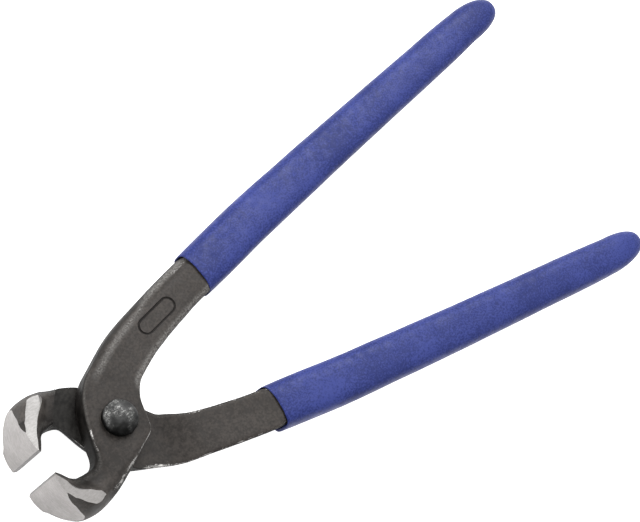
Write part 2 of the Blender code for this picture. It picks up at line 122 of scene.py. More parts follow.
FRONT_SIDE = [
    (-29.2, -0.6, 0.9, 0.0), (-29.1, -3.4, 0.9, 0.0), (-27.8, -5.4, 1.6, 0.6),
    (-26.85, -7.0, 1.8, 0.85), (-26.4, -8.7, 2.2, 0.93), (-26.1, -10.6, 3.3, 0.97),
    (-25.05, -12.5, 4.2, 0.97), (-23.6, -14.1, 3.9, 0.97),
    (-21.2, -15.1, 3.4, 0.95), (-18.7, -15.5, 3.3, 0.9),
    (-16.0, -15.4, 3.6, 0.8), (-13.2, -14.9, 3.6, 0.6),
    (-10.3, -14.2, 3.3, 0.2), (-7.4, -13.25, 2.8, 0.0), (-4.5, -12.2, 2.4, 0.0),
    (-1.9, -11.2, 2.0, 0.0), (1.6, -10.0, 1.5, 0.0), (4.4, -9.05, 1.2, 0.0),
    (5.6, -7.9, 1.0, 0.0), (6.75, -5.6, 0.9, 0.0), (7.7, -3.0, 0.9, 0.0),
    (8.6, -1.0, 0.9, 0.0), (9.9, 0.8, 0.9, 0.0), (12.1, 2.8, 1.0, 0.0),
    (15.0, 4.25, 1.2, 0.0), (17.9, 5.35, 1.5, 0.0), (21.3, 6.25, 1.8, 0.0),
    (24.9, 6.95, 2.0, 0.0), (29.6, 7.7, 2.2, 0.0), (34.7, 8.35, 2.3, 0.0),
    (39.5, 8.9, 2.4, 0.0), (45.0, 9.3, 2.4, 0.0), (50.5, 9.75, 2.4, 0.0),
    (56.0, 10.4, 2.4, 0.0),
]
GRIND = [
    (EDGE_X + 0.75, 0.0), (EDGE_X, -0.65), (-26.4, -2.5), (-26.45, -4.5),
    (-26.25, -6.5), (-25.9, -8.4), (-25.35, -10.4), (-24.6, -12.3),
    (-23.6, -14.0), (-22.0, -15.9), (-19.5, -18.6),
]
GRIP_LINE = [
    (MOUTH_X, 15.3, 13.8), (55.0, 15.75, 14.1), (70.0, 16.67, 14.1),
    (90.0, 17.28, 13.8), (110.0, 17.8, 13.45), (130.0, 18.2, 13.05),
    (150.0, 18.5, 12.75), (170.0, 18.86, 12.35), (180.0, 19.0, 11.7),
]
TONGUE_A = Vector((-25.5, -0.5, JAW_HALF - 0.06))
TONGUE_B = Vector((-17.4, -12.5, 7.2))

# Ground facet beside the jaw: distance along it and across it.
TONGUE = [
    (-3.0, 2.2), (0.0, 0.6), (1.8, 0.4), (3.6, 0.0), (5.8, -0.5), (7.8, -0.7),
    (10.2, -0.35), (12.0, 0.15), (13.5, 0.4), (14.8, 0.05), (15.6, -0.8),
    (15.65, -1.75), (14.9, -2.7), (13.3, -3.4), (11.5, -3.8), (9.3, -4.0),
    (7.0, -4.1), (5.0, -4.4), (2.0, -5.5), (-3.0, -5.5),
]


# ------------------------------------------------------------------- helpers
def catmull(points, steps):
    """Centripetal spline through points of any dimension, ends included."""
    pts = [Vector(p) for p in points]
    ext = [pts[0] * 2 - pts[1]] + pts + [pts[-1] * 2 - pts[-2]]
    out = []
    for i in range(1, len(ext) - 2):
        p0, p1, p2, p3 = ext[i - 1:i + 3]
        t1 = max((p1 - p0).length, 1e-6) ** 0.5
        t2 = t1 + max((p2 - p1).length, 1e-6) ** 0.5
        t3 = t2 + max((p3 - p2).length, 1e-6) ** 0.5
        for k in range(steps):
            t = t1 + (t2 - t1) * k / steps
            a1 = p0 * ((t1 - t) / t1) + p1 * (t / t1)
            a2 = p1 * ((t2 - t) / (t2 - t1)) + p2 * ((t - t1) / (t2 - t1))
            a3 = p2 * ((t3 - t) / (t3 - t2)) + p3 * ((t - t2) / (t3 - t2))
            b1 = a1 * ((t2 - t) / t2) + a2 * (t / t2)
            b2 = a2 * ((t3 - t) / (t3 - t1)) + a3 * ((t - t1) / (t3 - t1))
            out.append(b1 * ((t2 - t) / (t2 - t1)) + b2 * ((t - t1) / (t2 - t1)))
    out.append(pts[-1])
    return out


def ease(t):
    t = min(max(t, 0.0), 1.0)
    return t * t * (3.0 - 2.0 * t)


def collection(name):
    col = bpy.data.collections.new(name)
    bpy.context.scene.collection.children.link(col)
    return col


def link(name, mesh, col):
    obj = bpy.data.objects.new(name, mesh)
    col.objects.link(obj)
    return obj


def baked(obj, name):
    """The object's mesh with its modifiers applied; the object goes."""
    bpy.context.view_layer.update()
    deps = bpy.context.evaluated_depsgraph_get()
    mesh = bpy.data.meshes.new_from_object(obj.evaluated_get(deps),
                                           preserve_all_data_layers=True,
                                           depsgraph=deps)
    mesh.name = name
    bpy.data.objects.remove(obj, do_unlink=True)
    return mesh


def prism(name, outline, low, high, mat):
    """Closed prism over a plan outline, in millimetres."""
    bm = bmesh.new()
    rings = [[bm.verts.new((p[0], p[1], z)) for p in outline] for z in (low, high)]
    n = len(outline)
    for i in range(n):
        j = (i + 1) % n
        bm.faces.new((rings[0][i], rings[0][j], rings[1][j], rings[1][i]))
    bm.faces.new(rings[0])
    bm.faces.new(rings[1])
    bmesh.ops.recalc_face_normals(bm, faces=bm.faces)
    bmesh.ops.triangulate(bm, faces=[f for f in bm.faces if len(f.verts) > 4])
    mesh = bpy.data.meshes.new(name)
    bm.to_mesh(mesh)
    bm.free()
    mesh.materials.append(mat)
    return mesh


def arc(radius, start, stop, steps):
    return [(radius * math.cos(math.radians(start + (stop - start) * i / steps)),
             radius * math.sin(math.radians(start + (stop - start) * i / steps)))
            for i in range(steps + 1)]


# ----------------------------------------------------------------- materials
class Nodes:
    """Small builder for node materials."""

    def __init__(self, name):
        self.mat = bpy.data.materials.new(name)
        self.mat.use_nodes = True
        self.tree = self.mat.node_tree
        self.bsdf = self.tree.nodes["Principled BSDF"]
        self.coord = self.new("ShaderNodeTexCoord").outputs["Object"]

    def new(self, kind, **props):
        node = self.tree.nodes.new(kind)
        for key, value in props.items():
            setattr(node, key, value)
        return node

    def wire(self, source, target):
        self.tree.links.new(source, target)

    def put(self, socket, value):
        if isinstance(value, bpy.types.NodeSocket):
            self.wire(value, socket)
        else:
            socket.default_value = value

    def noise(self, scale, detail=2.0, rough=0.5, vector=None, distortion=0.0):
        node = self.new("ShaderNodeTexNoise")
        self.wire(vector or self.coord, node.inputs["Vector"])
        node.inputs["Scale"].default_value = scale
        node.inputs["Detail"].default_value = detail
        node.inputs["Roughness"].default_value = rough
        node.inputs["Distortion"].default_value = distortion
        return node.outputs["Fac"]

    def voronoi(self, scale, feature="F1", vector=None):
        node = self.new("ShaderNodeTexVoronoi", feature=feature)
        self.wire(vector or self.coord, node.inputs["Vector"])
        node.inputs["Scale"].default_value = scale
        return node.outputs["Distance"]

    def ramp(self, value, low, high, out_low=0.0, out_high=1.0):
        node = self.new("ShaderNodeMapRange", interpolation_type="SMOOTHSTEP")
        self.wire(value, node.inputs["Value"])
        for key, v in (("From Min", low), ("From Max", high),
                       ("To Min", out_low), ("To Max", out_high)):
            node.inputs[key].default_value = v
        return node.outputs["Result"]

    def math(self, operation, a, b=0.0, clamp=False):
        node = self.new("ShaderNodeMath", operation=operation, use_clamp=clamp)
        self.put(node.inputs[0], a)
        self.put(node.inputs[1], b)
        return node.outputs[0]

    def mix(self, fac, a, b):
        node = self.new("ShaderNodeMix", data_type="RGBA")
        self.put(node.inputs["Factor"], fac)
        for socket, value in ((node.inputs[6], a), (node.inputs[7], b)):
            if isinstance(value, tuple):
                value = value + (1.0,)
            self.put(socket, value)
        return node.outputs[2]

    def attribute(self, name):
        node = self.new("ShaderNodeAttribute", attribute_name=name)
        return node.outputs["Fac"]

    def stretched(self, scale, rotation=(0.0, 0.0, 0.0)):
        node = self.new("ShaderNodeMapping")
        self.wire(self.coord, node.inputs["Vector"])
        node.inputs["Scale"].default_value = scale
        node.inputs["Rotation"].default_value = rotation
        return node.outputs["Vector"]

    def bump(self, height, strength, distance, normal=None):
        node = self.new("ShaderNodeBump")
        self.wire(height, node.inputs["Height"])
        node.inputs["Strength"].default_value = strength
        node.inputs["Distance"].default_value = distance
        if normal is not None:
            self.wire(normal, node.inputs["Normal"])
        return node.outputs["Normal"]

    def finish(self, **sockets):
        for key, value in sockets.items():
            name = key.replace("_", " ").title()
            name = {"Ior": "IOR", "Specular": "Specular IOR Level",
                    "Sheen": "Sheen Weight", "Coat": "Coat Weight"}.get(name, name)
            if isinstance(value, tuple) and len(value) == 3:
                value = value + (1.0,)
            self.put(self.bsdf.inputs[name], value)
        return self.mat


def forged_steel(name):
    """Black forge scale: fine mottled grain, walls painted darker as shade, silver worn edges,
    paler rubbed bands that are partly painted highlight.
    """
    n = Nodes(name)
    fine = n.noise(1500.0, 3.0, 0.6)
    grain = n.noise(520.0, 4.0, 0.65)
    cloud = n.noise(90.0, 3.0, 0.5)
    tone = n.math("ADD", n.math("MULTIPLY", fine, 0.35),
                  n.math("MULTIPLY", grain, 0.40))
    tone = n.math("ADD", tone, n.math("MULTIPLY", cloud, 0.25))
    base = n.mix(n.ramp(tone, 0.41, 0.61), (0.0165, 0.0138, 0.0120),
                 (0.0390, 0.0335, 0.0297))
    # Painted shade: where the top mask is low (walls, hollows, by the joint) the colour turns to
    # the darker wall tone and the specular drops.
    top = n.attribute("top")
    shaded_wall = n.mix(n.ramp(grain, 0.35, 0.7), (0.0045, 0.0040, 0.0036),
                 (0.0150, 0.0132, 0.0120))
    colour = n.mix(top, shaded_wall, base)
    # Worn edges: bare steel showing through in specks.
    speck = n.noise(2100.0, 5.0, 0.75)
    wear = n.attribute("wear")
    reach = n.math("ADD", n.math("MULTIPLY", wear, 0.62), speck)
    bare = n.ramp(reach, 0.80, 0.99)
    colour = n.mix(bare, colour, (0.36, 0.35, 0.34))
    # Paler bands along the edge roundings: rubbed scale, partly a painted highlight.
    rub_and_sheen = n.math("MULTIPLY", n.attribute("rub_and_sheen"), n.ramp(speck, 0.34, 0.62))
    colour = n.mix(n.math("MULTIPLY", rub_and_sheen, 0.75), colour, (0.165, 0.159, 0.151))
    rough = n.ramp(grain, 0.3, 0.7, 0.50, 0.66)
    rough = n.math("SUBTRACT", rough, n.math("MULTIPLY", bare, 0.18))
    pits = n.math("ADD", n.math("MULTIPLY", fine, 0.5), grain)
    normal = n.bump(pits, 0.35, 0.00012)
    return n.finish(base_color=colour, roughness=rough,
                    metallic=n.math("MULTIPLY", bare, 0.85),
                    specular=n.ramp(top, 0.0, 1.0, 0.10, 0.20),
                    normal=normal)


def ground_steel(name, direction, light, dark, rough_low, rough_high):
    """Freshly ground steel: fine parallel lines, soft patches, tiny specks."""
    n = Nodes(name)
    lines = n.noise(1.0, 3.0, 0.7, n.stretched(*direction))
    patch = n.noise(140.0, 2.0, 0.5)
    speck = n.noise(1700.0, 3.0, 0.6)
    tone = n.math("ADD", n.math("MULTIPLY", lines, 0.5),
                  n.math("ADD", n.math("MULTIPLY", patch, 0.3),
                         n.math("MULTIPLY", speck, 0.2)))
    colour = n.mix(n.ramp(tone, 0.36, 0.64), dark, light)
    normal = n.bump(lines, 0.10, 0.00003)
    return n.finish(base_color=colour, metallic=0.55,
                    roughness=n.ramp(tone, 0.3, 0.7, rough_high, rough_low),
                    specular=0.5, normal=normal)


def machined_lap(name):
    """Turned lap face: faint rings about the pivot under a dark film."""
    n = Nodes(name)
    shift = n.new("ShaderNodeMapping")
    n.wire(n.coord, shift.inputs["Vector"])
    shift.inputs["Location"].default_value = tuple(-AXIS * MM)
    wave = n.new("ShaderNodeTexWave", wave_type="RINGS", rings_direction="Z")
    n.wire(shift.outputs["Vector"], wave.inputs["Vector"])
    wave.inputs["Scale"].default_value = 260.0
    wave.inputs["Distortion"].default_value = 1.2
    wave.inputs["Detail"].default_value = 2.0
    grain = n.noise(700.0, 4.0, 0.6)
    tone = n.math("ADD", n.math("MULTIPLY", wave.outputs["Fac"], 0.06),
                  n.math("MULTIPLY", grain, 0.94))
    colour = n.mix(n.ramp(tone, 0.30, 0.70), (0.0105, 0.0100, 0.0093),
                   (0.0285, 0.0272, 0.0255))
    split = n.new("ShaderNodeSeparateXYZ")
    n.wire(shift.outputs["Vector"], split.inputs["Vector"])
    scale = n.mix(n.ramp(tone, 0.36, 0.64), (0.0130, 0.0108, 0.0095),
                  (0.0310, 0.0265, 0.0237))
    colour = n.mix(n.ramp(split.outputs["X"], -0.006, 0.006), colour, scale)
    normal = n.bump(tone, 0.15, 0.00005)
    return n.finish(base_color=colour, roughness=n.ramp(grain, 0.3, 0.7, 0.42, 0.6),
                    specular=0.06, normal=normal)


def groove_steel(name):
    """Pressed groove: near-black and rough."""
    n = Nodes(name)
    grain = n.noise(1100.0, 4.0, 0.65)
    colour = n.mix(n.ramp(grain, 0.35, 0.7), (0.0050, 0.0043, 0.0038),
                   (0.0150, 0.0130, 0.0115))
    normal = n.bump(grain, 0.3, 0.00008)
    return n.finish(base_color=colour, roughness=n.ramp(grain, 0.3, 0.7, 0.55, 0.75),
                    specular=0.15, normal=normal)


def rivet_steel(name):
    """Hammered rivet: dark film rubbed through to silver in streaks; streaks and a brighter
    specular show as painted highlight on the lit side, and the rest of the head is painted darker
    as shade.
    """
    n = Nodes(name)
    grain = n.noise(900.0, 4.0, 0.65)
    base = n.mix(n.ramp(grain, 0.32, 0.7), (0.0045, 0.0046, 0.0045),
                 (0.0190, 0.0191, 0.0187))
    patch = n.noise(300.0, 4.0, 0.6, distortion=0.6)
    streak = n.noise(1.0, 4.0, 0.7, n.stretched((520.0, 2300.0, 1200.0),
                                                (0.0, 0.0, 0.9)))
    other = n.noise(1.0, 4.0, 0.7, n.stretched((2300.0, 620.0, 1200.0),
                                               (0.0, 0.0, 0.5)))
    lines = n.math("MAXIMUM", n.ramp(streak, 0.54, 0.64), n.ramp(other, 0.56, 0.66))
    # Painted light: the rub mask brightens the lit side and paints the rest of the head darker as
    # shade.
    rub_and_sheen = n.attribute("rub_and_sheen")
    base = n.mix(n.ramp(rub_and_sheen, 0.05, 0.75), (0.0030, 0.0030, 0.0029), base)
    thin = n.ramp(n.math("ADD", patch, n.math("MULTIPLY", rub_and_sheen, 0.30)), 0.62, 0.88)
    lines = n.math("MULTIPLY", lines, thin)
    fleck = n.ramp(n.noise(3000.0, 4.0, 0.75), 0.46, 0.72)
    fleck = n.math("MULTIPLY", fleck, thin)
    bare = n.math("MULTIPLY", n.math("MAXIMUM", lines, fleck), rub_and_sheen)
    colour = n.mix(bare, base, (0.29, 0.29, 0.28))
    normal = n.bump(n.math("ADD", grain, patch), 0.4, 0.00012)
    return n.finish(base_color=colour, metallic=n.math("MULTIPLY", bare, 0.8),
                    roughness=n.ramp(bare, 0.0, 1.0, 0.56, 0.40),
                    specular=n.ramp(rub_and_sheen, 0.0, 0.8, 0.04, 0.36), normal=normal)


def vinyl(name):
    """Satin dipped vinyl: even blue, fine speckle, slight orange peel."""
    n = Nodes(name)
    speck = n.noise(1900.0, 3.0, 0.65)
    cloud = n.noise(60.0, 2.0, 0.5)
    tone = n.math("ADD", n.math("MULTIPLY", speck, 0.7),
                  n.math("MULTIPLY", cloud, 0.3))
    colour = n.mix(n.ramp(tone, 0.43, 0.59), (0.0080, 0.0148, 0.092),
                   (0.0232, 0.0345, 0.164))
    peel = n.noise(420.0, 2.0, 0.5)
    height = n.math("ADD", peel, n.math("MULTIPLY", speck, 0.35))
    normal = n.bump(height, 0.22, 0.00010)
    return n.finish(base_color=colour, roughness=n.ramp(peel, 0.3, 0.7, 0.46, 0.60),
                    specular=0.2, normal=normal)


# --------------------------------------------------------------------- lever
def inner_face(x):
    deep = BAR_T - FACE_Z + LAP_GAP
    if x > LAP_X:
        return LAP_GAP - deep * ease((x - LAP_X) / RAMP)
    return LAP_GAP - 0.6 * min((LAP_X - x) / 2.0, 1.0)


def lever_height(x, y, z):
    flare = 1.0
    if x < 0.0:
        rise = FLARE_SLOPE * max(math.hypot(x, y) - FLARE_R, 0.0)
        run = TONGUE_B - TONGUE_A
        ahead = run.xy.normalized()
        off = Vector((x, y)) - TONGUE_A.xy
        limit = TONGUE_A.z + run.z / run.xy.length * off.dot(ahead)
        across = ahead.x * off.y - ahead.y * off.x
        proud = 0.3 + 0.7 * ease((-across - 0.5) / 3.0)
        top = max(limit + proud - FACE_Z, 0.0)
        blend = max(1.0 - abs(rise - top), 0.0)
        flare += max(min(rise, top) - 0.25 * blend * blend, 0.0) / FACE_Z
    on_bar = ease((x + 8.0) / 8.0)
    low = inner_face(x)
    mid, half = (FACE_Z + low) / 2.0, (FACE_Z - low) / 2.0
    z = z * flare * (1.0 - on_bar) + (mid + z / FACE_Z * half) * on_bar
    return z + HANDLE_RISE * max(x - MOUTH_X, 0.0)


def draft(x):
    """How far the rear handle's lap-side edge stands out beyond its outline."""
    return (REAR_DRAFT * ease((x + 1.0) / 4.0)
            * (1.0 - 0.5 * ease((x - 14.0) / 12.0)) * ease((46.5 - x) / 4.0))


def lever_blank(name, seed, col, rear):
    """Forged blank with rounded edges, as an even skin with a hammered face."""
    side = catmull(OUTER_SIDE + FRONT_SIDE, 4)
    n = len(side)
    inward = []
    for i in range(n):
        along = (side[(i + 1) % n] - side[i - 1]).xy.normalized()
        inward.append(Vector((-along.y, along.x)))
    inward[0] = Vector((0.0, -1.0))
    inward[-1] = Vector((0.0, 1.0))
    # The rear plate's mouth edge is well rounded on its outer face.
    rim = [ease((p.x + 15.0) / 2.5) * ease((-2.5 - p.x) / 3.0)
           if rear and i < 4 * len(OUTER_SIDE) else 0.0
           for i, p in enumerate(side)]
    # The front plate's edge is softer, most of all in the corner by the jaw.
    lip = [0.0 if rear or i >= 4 * len(OUTER_SIDE) else
           0.8 * ease((p.x + 13.5) / 3.0) * ease((-1.0 - p.x) / 3.0)
           + 2.2 * ease((p.x + 21.0) / 4.0) * ease((-10.5 - p.x) / 4.0)
           for i, p in enumerate(side)]
    # The two forgings differ a little along the finger side of the handle.
    for i, p in enumerate(side):
        if i > 4 * len(OUTER_SIDE) and p.x > 12.0:
            p.y += (0.35 if rear else -0.5) * ease((p.x - 12.0) / 6.0)
        if i > 4 * len(OUTER_SIDE) and rear and p.x > 8.0:
            p.y -= 1.7 * bell(p.x, 7.0, 10.5, 14.2) + 0.6 * bell(p.x, 11.0, 15.5, 21.5)
    bm = bmesh.new()
    rings = []
    turns = [15.0 * k for k in range(7)]
    for sign, order in ((-1.0, turns[::-1]), (1.0, turns)):
        for t in (math.radians(a) for a in order):
            ring = []
            for p, q, edge, extra in zip(side, inward, rim, lip):
                r = max(p.z, 0.3)
                part = p.w
                if sign > 0.0:
                    r += extra
                    r += (5.0 - r) * edge
                    part = max(part, 0.95 * edge)
                    if p.y > 0.5 * p.x + 2.0 or p.y > 14.0:
                        part = max(part, 0.95 * ease((p.x - 2.0) / 8.0))
                if sign < 0.0 and p.x > 6.0:
                    stop = 47.3 if p.y > 14.0 else 45.6
                    r += ((min(r, LAP_EDGE) - r) * ease((p.x - 6.0) / 5.0)
                          * ease((stop - p.x) / 1.5))
                if sign < 0.0 and rear and (p.y > 0.5 * p.x + 2.0 or p.y > 14.0):
                    edge = draft(p.x)
                if sign < 0.0 and p.x < 0.0 and p.y < -5.9:
                    near = ease((p.x + (18.4 if rear else 19.0)) / 6.0)
                    near *= ease(-1.0 - p.x)
                    r *= 1.0 + LAP_ROUND * near
                    r = min(r, FACE_Z - 0.2)
                    part = max(part, 0.95 * near)
                    if rear:
                        edge = 0.75 * ease((p.x + 11.0) / 3.0) * ease(-p.x / 3.0)
                    else:
                        edge = (-0.5 * ease((p.x + 16.0) / 5.0)
                                * ease((-6.0 - p.x) / 4.0))
                deep = min(max(r, part * FACE_Z), FACE_Z - 0.2)
                flat = p.xy - q * edge + q * r * (1.0 - math.cos(t))
                z = sign * (FACE_Z - deep * (1.0 - math.sin(t)))
                ring.append(bm.verts.new((flat.x, flat.y, z)))
            rings.append(ring)
    for low, high in zip(rings, rings[1:]):
        for i in range(n):
            j = (i + 1) % n
            bm.faces.new((low[i], low[j], high[j], high[i]))
    bm.faces.new(rings[0])
    bm.faces.new(rings[-1])
    bmesh.ops.recalc_face_normals(bm, faces=bm.faces)
    bmesh.ops.triangulate(bm, faces=[f for f in bm.faces if len(f.verts) > 3])
    mesh = bpy.data.meshes.new(name)
    bm.to_mesh(mesh)
    bm.free()
    obj = link(name, mesh, col)
    skin = obj.modifiers.new("skin", "REMESH")
    skin.mode = "VOXEL"
    skin.voxel_size = 0.30
    mesh = baked(obj, name)
    for v in mesh.vertices:
        v.co.z = lever_height(*v.co)
    obj = link(name, mesh, col)
    soft = obj.modifiers.new("soft", "SMOOTH")
    soft.factor = 0.5
    soft.iterations = 4
    mesh = baked(obj, name)
    # The jaw is struck smoother than the rest.
    obj = link(name, mesh, col)
    jaw = obj.vertex_groups.new(name="jaw")
    for v in mesh.vertices:
        jaw.add([v.index], ease((-v.co.x - 13.0) / 4.0), "REPLACE")
    soft = obj.modifiers.new("soft", "SMOOTH")
    soft.factor = 0.5
    soft.iterations = 8
    soft.vertex_group = "jaw"
    mesh = baked(obj, name)
    # Forge marks: broad dents, then fine scale.
    normals = [v.normal.copy() for v in mesh.vertices]
    for v, normal in zip(mesh.vertices, normals):
        p = v.co + Vector((seed, 3.1 * seed, 0.0))
        lift = 0.05 * noise.noise(p * 0.22) + 0.026 * noise.noise(p * 0.75)
        lift += 0.014 * noise.noise(p * 2.1)
        v.co += normal * lift
    return mesh


def bar_section(x):
    """Bar inside the sleeve: its two sides, half thickness and middle height."""
    for (x0, hi0, lo0), (x1, hi1, lo1) in zip(BAR_SIDES, BAR_SIDES[1:]):
        if x <= x1:
            break
    t = (x - x0) / (x1 - x0)
    half = (BAR_T - BAR_TAPER * (x - MOUTH_X) / (GRIP_END_X - MOUTH_X)) / 2.0
    mid = FACE_Z - BAR_T / 2.0 + HANDLE_RISE * (x - MOUTH_X)
    return hi0 + (hi1 - hi0) * t, lo0 + (lo1 - lo0) * t, half, mid


def handle_bar(name, col, mat):
    """The part of the handle bar that the sleeve hides, down to its round end."""
    bm = bmesh.new()
    rings = []
    for x, inset in ((51.0, 0.6), (58.0, 0.15), (75.0, 0.12), (100.0, 0.12),
                     (130.0, 0.12), (160.0, 0.12), (180.0, 0.15), (182.0, 0.25),
                     (183.4, 0.6), (184.2, 1.2), (184.5, 2.0)):
        hi, lo, half, mid = bar_section(x)
        rings.append([bm.verts.new((x, (hi + lo) / 2.0 + p, mid + q)) for p, q in
                      superellipse((hi - lo) / 2.0 - inset, half - inset, 4.6, 32)])
    for low, high in zip(rings, rings[1:]):
        for i in range(32):
            j = (i + 1) % 32
            bm.faces.new((low[i], low[j], high[j], high[i]))
    bm.faces.new(rings[0])
    bm.faces.new(rings[-1])
    bmesh.ops.recalc_face_normals(bm, faces=bm.faces)
    bmesh.ops.triangulate(bm, faces=[f for f in bm.faces if len(f.verts) > 4])
    mesh = bpy.data.meshes.new(name)
    bm.to_mesh(mesh)
    bm.free()
    mesh.materials.append(mat)
    return link(name, mesh, col)


def racetrack(cx, cy, length, width, heading, steps=10):
    out = []
    for k, sx in ((0, 1.0), (1, -1.0)):
        for i in range(steps + 1):
            t = math.pi * (k + i / steps) - math.pi / 2.0
            out.append(Vector((sx * (length - width) / 2.0
                               + width / 2.0 * math.cos(t),
                               width / 2.0 * math.sin(t))))
    turn = Matrix.Rotation(heading, 2)
    return [Vector((cx, cy)) + turn @ p for p in out]


def stamp_tool(name, col, mat):
    """Ring cutter for the shallow oval pressed into the handle."""
    path = racetrack(28.65, 13.25, 13.4, 4.3, math.radians(3.5), 14)
    n = len(path)
    bm = bmesh.new()
    rings = []
    for i, p in enumerate(path):
        along = (path[(i + 1) % n] - path[i - 1]).normalized()
        out = Vector((along.y, -along.x))
        ring = []
        for k in range(8):
            t = 2.0 * math.pi * k / 8
            faint = 0.10 * ease((13.6 - p.y) / 2.4) + 0.05 * noise.noise(p.to_3d())
            q = p + out * 0.36 * math.cos(t)
            ring.append(bm.verts.new((q.x, q.y, FACE_Z + 0.04 + faint
                                      + 0.36 * math.sin(t))))
        rings.append(ring)
    for i in range(n):
        for k in range(8):
            m = (k + 1) % 8
            bm.faces.new((rings[i][k], rings[i][m],
                          rings[(i + 1) % n][m], rings[(i + 1) % n][k]))
    bmesh.ops.recalc_face_normals(bm, faces=bm.faces)
    mesh = bpy.data.meshes.new(name)
    bm.to_mesh(mesh)
    bm.free()
    mesh.materials.append(mat)
    return link(name, mesh, col)


def tongue_tool(name, sign, mat, reach):
    """Cutter for the ground facet beside the jaw: a tongue with a round end."""
    run = TONGUE_B - TONGUE_A
    ahead = run.xy.normalized()
    inside = Vector((-ahead.y, ahead.x))
    pinch = 0.0 if reach else 0.95
    outline = [Vector((a + reach * ease((a - 9.0) / 6.0),
                       c - (c > -2.0) * pinch * bell(a, 0.5, 4.8, 11.5), 0.0))
               for a, c in TONGUE]
    outline = catmull(outline + outline[:1], 5)[:-1]
    bm = bmesh.new()
    rings = [[], []]
    for p in outline:
        flat = TONGUE_A.xy + ahead * p.x + inside * p.y
        z = TONGUE_A.z + run.z / run.xy.length * p.x - 0.05 * (p.y + 2.0)
        z -= 1.1 * reach * ease((p.x - 7.0) / 9.0)
        rings[0].append(bm.verts.new((flat.x, flat.y, sign * z)))
        rings[1].append(bm.verts.new((flat.x, flat.y, sign * 16.0)))
    n = len(outline)
    for i in range(n):
        j = (i + 1) % n
        bm.faces.new((rings[0][i], rings[0][j], rings[1][j], rings[1][i]))
    for ring in rings:
        bm.faces.new(ring)
    bmesh.ops.recalc_face_normals(bm, faces=bm.faces)
    bmesh.ops.triangulate(bm, faces=[f for f in bm.faces if len(f.verts) > 4])
    mesh = bpy.data.meshes.new(name)
    bm.to_mesh(mesh)
    bm.free()
    mesh.materials.append(mat)
    return mesh


def lever_tools(name, hole, col, mats, stamped):
    tools = []
    end = math.degrees(math.acos(LAP_X / LAP_R))
    lap = [(x + hole.x, y + hole.y) for x, y in arc(LAP_R, end, 360.0 - end, 88)]
    tools.append(link(name + "_lap", prism(name + "_lap", lap, -20.0, LAP_GAP,
                                           mats["lap"]), col))
    bore = [(x + hole.x, y + hole.y) for x, y in arc(4.1, 0.0, 352.5, 47)]
    tools.append(link(name + "_bore", prism(name + "_bore", bore, -20.0, 20.0,
                                            mats["lap"]), col))
    face = [(-18.0, 8.0), (-18.0, 0.0), (EDGE_X + 0.75, 0.0),
            (EDGE_X - 0.25, -0.62)]
    face += [(-34.0, -0.62), (-34.0, 8.0)]
    tools.append(link(name + "_edge", prism(name + "_edge", face, -20.0, 20.0,
                                            mats["edge"]), col))
    face = [(-34.0, 1.0), (EDGE_X + 0.3, 1.0)]
    face += [tuple(p.xy) for p in catmull([p + (0.0,) for p in GRIND[1:]], 6)]
    face += [(-18.0, -26.0), (-40.0, -26.0), (-40.0, 1.0)]
    tools.append(link(name + "_front", prism(name + "_front", face, -20.0, 20.0,
                                             mats["front"]), col))
    for sign, tag in ((1.0, "_side_up"), (-1.0, "_side_down")):
        tongue = tongue_tool(name + tag, sign, mats["side"], 0.0 if stamped else 0.8)
        tools.append(link(name + tag, tongue, col))
    tools = tools[-1:-3:-1] + tools[:-2]
    if stamped:
        tools.append(stamp_tool(name + "_stamp", col, mats["groove"]))
    return tools


def shade(mesh, angle):
    """Smooth shading, with hard edges at corners and where finishes meet."""
    bm = bmesh.new()
    bm.from_mesh(mesh)
    for f in bm.faces:
        f.smooth = True
    limit = math.radians(angle)
    for e in bm.edges:
        if len(e.link_faces) == 2:
            a, b = e.link_faces
            hard = a.material_index != b.material_index
            e.smooth = not (hard or e.calc_face_angle(0.0) > limit)
    bm.to_mesh(mesh)
    bm.free()


def set_attribute(mesh, name, values):
    layer = mesh.attributes.new(name, "FLOAT", "POINT")
    layer.data.foreach_set("value", np.asarray(values, np.float32))


def bell(v, low, peak, high):
    """Rises from low to peak and falls to high."""
    if v <= peak:
        return ease((v - low) / (peak - low))
    return 1.0 - ease((v - peak) / (high - peak))


